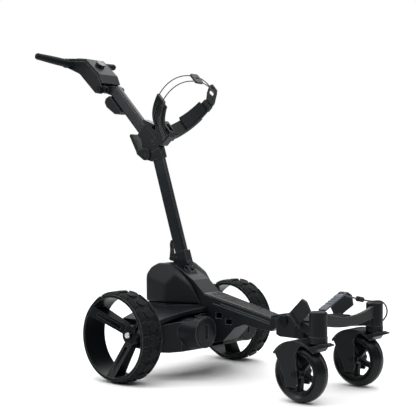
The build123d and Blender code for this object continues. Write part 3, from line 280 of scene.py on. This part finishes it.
# Powder-coated tube: an even satin black skin with the faint orange peel of baked powder.
def powderCoat(name, look):
    material, tree, shader, where, rounded, edge = startMaterial(name, look["corner"])
    tonedColour(tree, shader, where, edge, look)
    peel = addNode(tree, "ShaderNodeTexNoise", {"Scale": 1 / (look["peel"] * mm), "Detail": 1.0},
                   {"Vector": where})
    bump = addNode(tree, "ShaderNodeBump", {"Strength": look["relief"], "Distance": 0.1 * mm},
                   {"Height": peel.outputs["Fac"], "Normal": rounded})
    tree.links.new(bump.outputs["Normal"], shader.inputs["Normal"])
    shader.inputs["IOR"].default_value = look["ior"]
    shader.inputs["Specular IOR Level"].default_value = look["shine"]
    return material


# Plated steel or alloy: bright grey metal with the fine turned marks of the lathe and a little tarnish; its
# edges are painted paler, partly as wear and partly as a painted glint.
# Lathe marks are about 0.2 mm apart; they are drawn coarser, so that they show.
def turnedMetal(name, look):
    material, tree, shader, where, rounded, edge = startMaterial(name, look["corner"])
    tonedColour(tree, shader, where, edge, look)
    shader.inputs["Metallic"].default_value = 1.0
    rings = addNode(tree, "ShaderNodeTexWave",
                    {"Scale": waveScale / (look["turning"] * mm), "Distortion": 1.0, "wave_type": "RINGS",
                     "rings_direction": "Y"}, {"Vector": where})
    bump = addNode(tree, "ShaderNodeBump", {"Strength": 0.15, "Distance": 0.08 * mm},
                   {"Height": rings.outputs["Fac"], "Normal": rounded})
    tree.links.new(bump.outputs["Normal"], shader.inputs["Normal"])
    return material


# Braided sheath over elastic: two crossing sets of threads, dull, with a pale fleck where the braid opens.
def braidedSheath(name, look):
    material, tree, shader, where, rounded, edge = startMaterial(name, look["corner"])
    threads = []
    for lean in (45, -45):
        turned = addNode(tree, "ShaderNodeMapping", {"Rotation": (math.radians(lean), math.radians(lean), 0)},
                         {"Vector": where})
        wave = addNode(tree, "ShaderNodeTexWave",
                       {"Scale": waveScale / (look["thread"] * mm), "Distortion": 0.4},
                       {"Vector": turned.outputs[0]})
        threads.append(wave.outputs["Fac"])
    braid = addNode(tree, "ShaderNodeMath", {"operation": "MAXIMUM"}, {0: threads[0], 1: threads[1]})
    mix = addNode(tree, "ShaderNodeMix", {"data_type": "RGBA", 6: linear(look["gap"]), 7: linear(look["tone"])},
                  {0: braid.outputs[0]})
    tree.links.new(mix.outputs[2], shader.inputs["Base Color"])
    bump = addNode(tree, "ShaderNodeBump", {"Strength": 0.5, "Distance": 0.3 * mm},
                   {"Height": braid.outputs[0], "Normal": rounded})
    tree.links.new(bump.outputs["Normal"], shader.inputs["Normal"])
    shader.inputs["Roughness"].default_value = look["rough"]
    shader.inputs["Sheen Weight"].default_value = look["sheen"]
    return material


finishes = {
    # Spark-eroded ABS: the big body mouldings, charcoal and softly matt.
    "grainedAbs": mouldedPlastic("grainedAbs", {
        "tone": "#0f1214", "drift": "#15181a", "scuffAndHighlight": "#686e71", "scuffAndHighlightWeight": 0.8, "patch": 60,
        "rough": (0.28, 0.42), "grain": 1.4, "relief": 0.35, "corner": 2.4, "ior": 1.53,
        "shine": 0.08}),
    # Polished ABS: the beam cover and the speed dial, piano black that mirrors the softboxes.
    "polishedAbs": mouldedPlastic("polishedAbs", {
        "tone": "#0a0b0d", "drift": "#0f1113", "scuffAndHighlight": "#767a7d", "scuffAndHighlightWeight": 0.75, "patch": 80,
        "rough": (0.14, 0.22), "grain": 4.0, "relief": 0.05, "corner": 2.4, "ior": 1.53,
        "shine": 0.3, "coat": 0.1, "coatRough": 0.08}),
    # Glass-filled nylon, moulded: levers, forks and joints, with cloudy flow marks and a finer grain.
    "glassNylon": mouldedPlastic("glassNylon", {
        "tone": "#0f1213", "drift": "#151719", "scuffAndHighlight": "#6b7073", "scuffAndHighlightWeight": 0.8, "patch": 25,
        "rough": (0.26, 0.4), "grain": 0.9, "relief": 0.3, "corner": 1.8, "ior": 1.54,
        "shine": 0.09}),
    # Moulded polypropylene: the wheels' rims, waxy and smooth, with paler edges that are partly wear and partly
    # a painted highlight.
    "waxyPolypropylene": mouldedPlastic("waxyPolypropylene", {
        "tone": "#0a0c0e", "drift": "#0f1113", "scuffAndHighlight": "#6c7174", "scuffAndHighlightWeight": 0.8, "patch": 40,
        "rough": (0.26, 0.38), "grain": 2.0, "relief": 0.15, "corner": 2.0, "ior": 1.49,
        "shine": 0.05}),
    # Leather-grained ABS of the battery case: coarser grain, duller and a little paler than the body.
    "leatherGrainAbs": mouldedPlastic("leatherGrainAbs", {
        "tone": "#121417", "drift": "#181b1d", "scuffAndHighlight": "#595d61", "scuffAndHighlightWeight": 0.6, "patch": 90,
        "rough": (0.38, 0.5), "grain": 2.6, "relief": 0.6, "corner": 4.0, "ior": 1.53,
        "shine": 0.07}),
    # Baked powder coat on extruded aluminium tube: black satin, with a soft pale line painted on each edge as
    # its highlight, and some wear.
    "satinPowderCoat": powderCoat("satinPowderCoat", {
        "tone": "#101317", "drift": "#15191c", "scuffAndHighlight": "#60676b", "scuffAndHighlightWeight": 0.75, "patch": 50,
        "rough": (0.2, 0.3), "peel": 3.0, "relief": 0.2, "corner": 1.8, "ior": 1.5, "shine": 0.2}),
    # Off-road tyre rubber, vulcanised in a mould: dusty charcoal, nearly without shine.
    "treadRubber": mouldedRubber("treadRubber", {
        "tone": "#0e0f10", "drift": "#141617", "scuffAndHighlight": "#535659", "scuffAndHighlightWeight": 0.75, "patch": 30,
        "rough": (0.5, 0.66), "pit": 1.6, "relief": 0.5, "corner": 1.2, "ior": 1.52, "shine": 0.05}),
    # Smooth moulded caster rubber: satin, with a soft wide highlight.
    "satinRubber": mouldedRubber("satinRubber", {
        "tone": "#0c0e0f", "drift": "#101213", "scuffAndHighlight": "#494d4f", "scuffAndHighlightWeight": 0.4, "patch": 40,
        "rough": (0.22, 0.3), "pit": 2.2, "relief": 0.12, "corner": 1.0, "ior": 1.52, "shine": 0.13}),
    # Soft-touch moulded rubber: the grips and the cradle's pads, velvety and nearly black.
    "gripRubber": mouldedRubber("gripRubber", {
        "tone": "#0c0d0f", "drift": "#111315", "scuffAndHighlight": "#414447", "scuffAndHighlightWeight": 0.5, "patch": 20,
        "rough": (0.42, 0.55), "pit": 1.2, "relief": 0.35, "corner": 0.8, "ior": 1.52, "shine": 0.07}),
    # Moulded strap rubber: blue-grey and a little dusty.
    "strapRubber": mouldedRubber("strapRubber", {
        "tone": "#2c3238", "drift": "#373e45", "scuffAndHighlight": "#52585e", "scuffAndHighlightWeight": 0.5, "patch": 20,
        "rough": (0.5, 0.62), "pit": 1.4, "relief": 0.25, "corner": 0.6, "ior": 1.52, "shine": 0.25}),
    # Zinc-plated steel, turned: the axles, the one bright note at the hubs.
    "zincSteel": turnedMetal("zincSteel", {
        "tone": "#b9bcc0", "drift": "#a2a6ab", "scuffAndHighlight": "#dcdee0", "scuffAndHighlightWeight": 0.6, "patch": 8,
        "rough": (0.24, 0.36), "turning": 0.8, "corner": 0.6}),
    # Die-cast alloy, blackened: the gearboxes, dark and rough with a metal's own glint.
    "castAlloy": turnedMetal("castAlloy", {
        "tone": "#232528", "drift": "#1c1e20", "scuffAndHighlight": "#4e5155", "scuffAndHighlightWeight": 0.6, "patch": 12,
        "rough": (0.42, 0.55), "turning": 2.0, "corner": 0.8}),
    # Blackened steel, turned: hinge pins and bolts, a dark glint at each joint.
    "blackSteel": turnedMetal("blackSteel", {
        "tone": "#1d1e20", "drift": "#16171a", "scuffAndHighlight": "#535659", "scuffAndHighlightWeight": 0.7, "patch": 10,
        "rough": (0.3, 0.42), "turning": 1.0, "corner": 0.6}),
    # Braided polyester over rubber: the elastics, dull black with paler flecks.
    "braidedElastic": braidedSheath("braidedElastic", {
        "tone": "#151618", "gap": "#2b2d30", "thread": 1.4, "corner": 0.3, "rough": 0.7, "sheen": 0.15}),
    # Solder-masked glass board inside the console: green and glossy, unseen until the console is open.
    "solderMask": mouldedPlastic("solderMask", {
        "tone": "#123a22", "drift": "#17482b", "scuffAndHighlight": "#6f8f63", "scuffAndHighlightWeight": 0.4, "patch": 6,
        "rough": (0.3, 0.4), "grain": 1.0, "relief": 0.2, "corner": 0.3, "ior": 1.5, "shine": 0.5}),
}
print("materials mixed")


# Finishes on the pieces that keep their shape as it is.
pieceFinish = {
    "waxyPolypropylene": ["rear_rim_left", "rear_rim_right", "front_rim_left", "front_rim_right"],
    "zincSteel": ["rear_axle_left", "rear_axle_right", "axle_bearings"],
    "castAlloy": ["gearbox_left", "gearbox_right"],
    "grainedAbs": ["motor_left", "motor_right", "lower_cowl", "main_beam", "controller_box",
                   "crossbar", "front_yoke", "accessory_pod", "lower_cradle", "console_base", "console_top"],
    "polishedAbs": ["beam_cover", "speed_dial"],
    "satinPowderCoat": ["lower_mast_tube", "upper_mast_tube", "handlebar"],
    "glassNylon": ["mast_foot", "base_latch", "mast_head", "mast_elbow", "fold_lever", "handle_neck",
                   "cradle_bracket", "cradle_arm_right", "cradle_arm_left", "clamp_knob", "power_button",
                   "caster_fork_left", "caster_fork_right", "bungee_slider", "strap_toggle", "caster_bushes"],
    "blackSteel": ["hinge_pins", "fold_pin", "tilt_bolt", "front_axle_left", "front_axle_right"],
    "solderMask": ["control_board"],
}


def dress(piece, material):
    if not piece.material_slots:
        piece.data.materials.append(material)
    for holder in piece.material_slots:
        holder.material = material


for finish, names in pieceFinish.items():
    for name in names:
        dress(nodes[name], finishes[finish])
for cord in cords.values():
    dress(cord, finishes["braidedElastic"])


# Turns a bmesh into a smooth-shaded piece that rides on a body in place of the named node.
def placePiece(shape, name, body, node, finish, crease):
    bmesh.ops.recalc_face_normals(shape, faces=shape.faces)
    mesh = bpy.data.meshes.new(name)
    shape.to_mesh(mesh)
    shape.free()
    mesh.shade_smooth()
    mesh.set_sharp_from_angle(angle=math.radians(crease))
    piece = bpy.data.objects.new(name, mesh)
    bpy.context.scene.collection.objects.link(piece)
    dress(piece, finishes[finish])
    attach(piece, body)
    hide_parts(node)


# The middle of a wheel, its radius and half its width, from its node's own box.
def wheelSize(node):
    low, high = (Vector(corner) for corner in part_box(node))
    return (low + high) / 2, (high.z - low.z) / 2, (high.y - low.y) / 2


# A spot on a wheel, at a turn about its axle.
def wheelSpot(centre, radius, across, turn):
    return centre.x + radius * math.cos(turn), centre.y + across, centre.z + radius * math.sin(turn)


# A ring turned about the wheel's axle from a closed profile of (radius, across) pairs.
def turnedRing(shape, centre, profile, steps):
    loops = []
    for i in range(steps):
        turn = 2 * math.pi * i / steps
        loops.append([shape.verts.new(wheelSpot(centre, r, across, turn)) for r, across in profile])
    for i in range(steps):
        here, after = loops[i], loops[(i + 1) % steps]
        for j in range(len(profile)):
            k = (j + 1) % len(profile)
            shape.faces.new((here[j], here[k], after[k], after[j]))


# Off-road tyre: a low carcass under twenty steps of lugs, with staggered shoulders beside wide centre blocks.
# Drops are millimetres below the crown. A lug's outline is (share of a step, share of the half width).
rearTyre = {
    "steps": 20, "sides": 120, "crownDrop": 1.5, "shoulderDrop": 10.0, "carcassDrop": 6.5, "beadDrop": 15.0,
    "shoulderFrom": 0.72, "shoulderCurve": 1.5, "edgeThin": 0.55, "edgeCurve": 3, "beadStep": 0.5,
    "rows": (-0.98, -0.92, -0.8, -0.6, -0.3, 0, 0.3, 0.6, 0.8, 0.92, 0.98),
    "lugRoot": 1.0, "lugStep": 0.4, "taper": 0.9, "crease": 28,
    "centreBlock": [(-0.40, -0.10), (-0.22, -0.42), (0.16, -0.46), (0.38, -0.14),
                    (0.40, 0.10), (0.22, 0.42), (-0.16, 0.46), (-0.38, 0.14)],
    "shoulderLug": [(-0.40, 0.56), (-0.16, 0.53), (0.22, 0.60), (0.41, 0.68), (0.39, 0.97), (-0.37, 0.97)]}


def buildRearTyre(side):
    centre, radius, half = wheelSize(f"rear_tyre_{side}")
    look = rearTyre
    shape = bmesh.new()

    # The radius at the lugs' tops, which falls away towards the shoulders.
    def crown(across):
        ratio = abs(across) / half
        if ratio < look["shoulderFrom"]:
            return radius - look["crownDrop"] * ratio ** 2 * mm
        bend = ((ratio - look["shoulderFrom"]) / (1 - look["shoulderFrom"])) ** look["shoulderCurve"]
        return radius - (look["crownDrop"] + (look["shoulderDrop"] - look["crownDrop"]) * bend) * mm

    bead = radius - look["beadDrop"] * mm
    profile = [(bead, -half)]
    for share in look["rows"]:
        drop = look["carcassDrop"] * (1 - look["edgeThin"] * abs(share) ** look["edgeCurve"])
        profile.append((max(crown(half * share) - drop * mm, bead + look["beadStep"] * mm), half * share))
    profile.append((bead, half))
    turnedRing(shape, centre, profile, look["sides"])

    # A lug stands at a step around the tyre, its top smaller than its foot, with the outline mirrored or not.
    def lug(outline, step, mirror):
        def spot(around, share, lift):
            turn = 2 * math.pi * (step + around * mirror) / look["steps"]
            height = max(crown(half * share) + lift * mm, bead + look["lugStep"] * mm)
            return shape.verts.new(wheelSpot(centre, height, half * share * mirror, turn))

        spots = []
        for j, (around, share) in enumerate(outline):
            after = outline[(j + 1) % len(outline)]
            spots += [(around, share), ((around + after[0]) / 2, (share + after[1]) / 2)]
        midAround = sum(around for around, _ in spots) / len(spots)
        midShare = sum(share for _, share in spots) / len(spots)
        feet, tops = [], []
        for around, share in spots:
            feet.append(spot(around, share, -look["carcassDrop"] - look["lugRoot"]))
            tops.append(spot(midAround + (around - midAround) * look["taper"],
                             midShare + (share - midShare) * look["taper"], 0.0))
        peak = spot(midAround, midShare, 0.0)
        for j in range(len(tops)):
            k = (j + 1) % len(tops)
            shape.faces.new((feet[j], feet[k], tops[k], tops[j]))
            shape.faces.new((tops[j], tops[k], peak))

    for i in range(look["steps"]):
        lug(look["centreBlock"], i, 1)
        lug(look["shoulderLug"], i + 0.5, 1)
        lug(look["shoulderLug"], i, -1)
    placePiece(shape, f"rear_tread_{side}", f"rear_wheel_{side}", f"rear_tyre_{side}",
               "treadRubber", look["crease"])


# Caster tyre: a round section with two shallow rain grooves, in millimetres and shares of the half width.
frontTyre = {
    "inner": 60.0, "innerShare": 0.76, "wall": 66.5, "wallShare": 0.93, "shoulder": 69.0, "treadShare": 0.99,
    "skin": 0.1, "rows": 24, "groove": 1.1, "grooveAt": 0.46, "grooveWidth": 0.05, "sides": 112, "crease": 40}


def buildFrontTyre(side):
    centre, radius, half = wheelSize(f"front_tyre_{side}")
    look = frontTyre
    shape = bmesh.new()
    # The tread is an arc from shoulder to shoulder, through the crown.
    rise = radius - look["shoulder"] * mm
    bow = (half ** 2 + rise ** 2) / (2 * rise)
    flank = [(look["inner"] * mm, half * look["innerShare"]), (look["wall"] * mm, half * look["wallShare"])]
    profile = [(r, -across) for r, across in flank]
    for i in range(-look["rows"], look["rows"] + 1):
        share = i / look["rows"]
        across = half * look["treadShare"] * share
        r = radius - bow + math.sqrt(bow ** 2 - across ** 2) - look["skin"] * mm
        if abs(abs(share) - look["grooveAt"]) < look["grooveWidth"]:
            r -= look["groove"] * mm
        profile.append((r, across))
    profile += flank[::-1]
    turnedRing(shape, centre, profile, look["sides"])
    placePiece(shape, f"front_tread_{side}", f"front_wheel_{side}", f"front_tyre_{side}",
               "satinRubber", look["crease"])


# Hand grip: a soft sleeve, fuller at the palm, ringed with fine ribs between a plain collar and a rounded end.
gripSleeve = {
    "root": (-605.5, 60, 1088.8), "tip": (-617.5, 196, 1102), "rootRadius": 16.2, "tipRadius": 12.6,
    "palm": 0.9, "collar": 8, "collarLift": 1.4, "rib": 0.7, "ribStep": 4.6, "plainEnd": 14,
    "round": 8, "roundTo": 0.45, "roundLeast": 0.02, "endCap": 0.6, "steps": 90, "sides": 40, "crease": 50}


def buildGrip(side):
    look = gripSleeve
    hand = 1 if side == "left" else -1
    start, end = (Vector((x, y * hand, z)) * mm for x, y, z in (look["root"], look["tip"]))
    run = end - start
    length = run.length / mm
    run.normalize()
    up = run.cross(Vector((1, 0, 0))).normalized()
    out = run.cross(up)
    shape = bmesh.new()
    loops = []
    for i in range(look["steps"] + 1):
        part = i / look["steps"]
        along = length * part
        left = length - along
        r = look["rootRadius"] + (look["tipRadius"] - look["rootRadius"]) * part
        r += look["palm"] * (math.sin(math.pi * part) - 1)
        if along < look["collar"]:
            r = look["rootRadius"] + look["collarLift"]
        elif left > look["plainEnd"]:
            r -= look["rib"] * (0.5 - 0.5 * math.cos(2 * math.pi * along / look["ribStep"]))
        if left < look["round"]:
            bend = math.sqrt(max(look["roundLeast"], 1 - (1 - left / look["round"]) ** 2))
            r *= bend * (1 - look["roundTo"]) + look["roundTo"]
        if i == look["steps"]:
            r *= look["endCap"]
        middle = start + run * along * mm
        loops.append([shape.verts.new(middle + (up * math.cos(a) + out * math.sin(a)) * r * mm)
                      for a in (2 * math.pi * j / look["sides"] for j in range(look["sides"]))])
    for here, after in zip(loops, loops[1:]):
        for j in range(look["sides"]):
            k = (j + 1) % look["sides"]
            shape.faces.new((here[j], here[k], after[k], after[j]))
    shape.faces.new(loops[0])
    shape.faces.new(loops[-1])
    placePiece(shape, f"grip_sleeve_{side}", "handle", f"grip_{side}",
               "gripRubber", look["crease"])


for side in ("left", "right"):
    buildRearTyre(side)
    buildFrontTyre(side)
    buildGrip(side)
print("tyres and grips built")


# Soft-edged pieces: how fine each one's skin is, in millimetres, and how many times it is smoothed.
skins = {
    "cradle_pads": {"voxel": 1.6, "passes": 4},
    "bag_strap": {"voxel": 0.9, "passes": 2},
    "battery_case": {"voxel": 2.6, "passes": 60},
    "rear_arch": {"voxel": 2.0, "passes": 5}}


# Copies a node's solid, melts it to an even skin of small faces, and smooths its edges.
def softSkin(node, name, body, finish):
    look = skins[node]
    mesh = nodes[node].data.copy()
    piece = bpy.data.objects.new(name, mesh)
    bpy.context.scene.collection.objects.link(piece)
    bpy.context.view_layer.objects.active = piece
    piece.select_set(True)
    for kind, settings in (("REMESH", {"mode": "VOXEL", "voxel_size": look["voxel"] * mm}),
                           ("SMOOTH", {"factor": 0.5, "iterations": look["passes"]})):
        step = piece.modifiers.new(kind.lower(), kind)
        for key, value in settings.items():
            setattr(step, key, value)
        bpy.ops.object.modifier_apply(modifier=step.name)
    piece.select_set(False)
    piece.data.materials.clear()
    piece.data.materials.append(finishes[finish])
    piece.data.shade_smooth()
    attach(piece, body)
    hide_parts(node)
    return piece


# Ridges moulded across the bag strap: troughs in its outer face, between two spots (across, up) along it.
strapRidges = {"from": (-86, 271.6), "to": (-30, 292.4), "count": 4, "depth": 2.0, "above": 3.0}


def ridgeStrap(piece, look):
    start = Vector((0, *look["from"])) * mm
    run = Vector((0, *look["to"])) * mm - start
    length = run.length
    run.normalize()
    outward = Vector((0, -run.z, run.y))
    for point in piece.data.vertices:
        part = (point.co - start).dot(run) / length
        high = (point.co - start).dot(outward) / mm
        if 0 < part < 1 and high > look["above"]:
            trough = 0.5 - 0.5 * math.cos(2 * math.pi * part * look["count"])
            point.co -= outward * look["depth"] * mm * trough
    piece.data.update()


pads = softSkin("cradle_pads", "cradle_pad_skin", "upper_mast", "gripRubber")
strap = softSkin("bag_strap", "bag_strap_skin", "front_section", "strapRubber")
ridgeStrap(strap, strapRidges)
softSkin("battery_case", "battery_shell", "battery", "leatherGrainAbs")
softSkin("rear_arch", "arch_shell", "chassis", "grainedAbs")
print("soft pieces skinned")
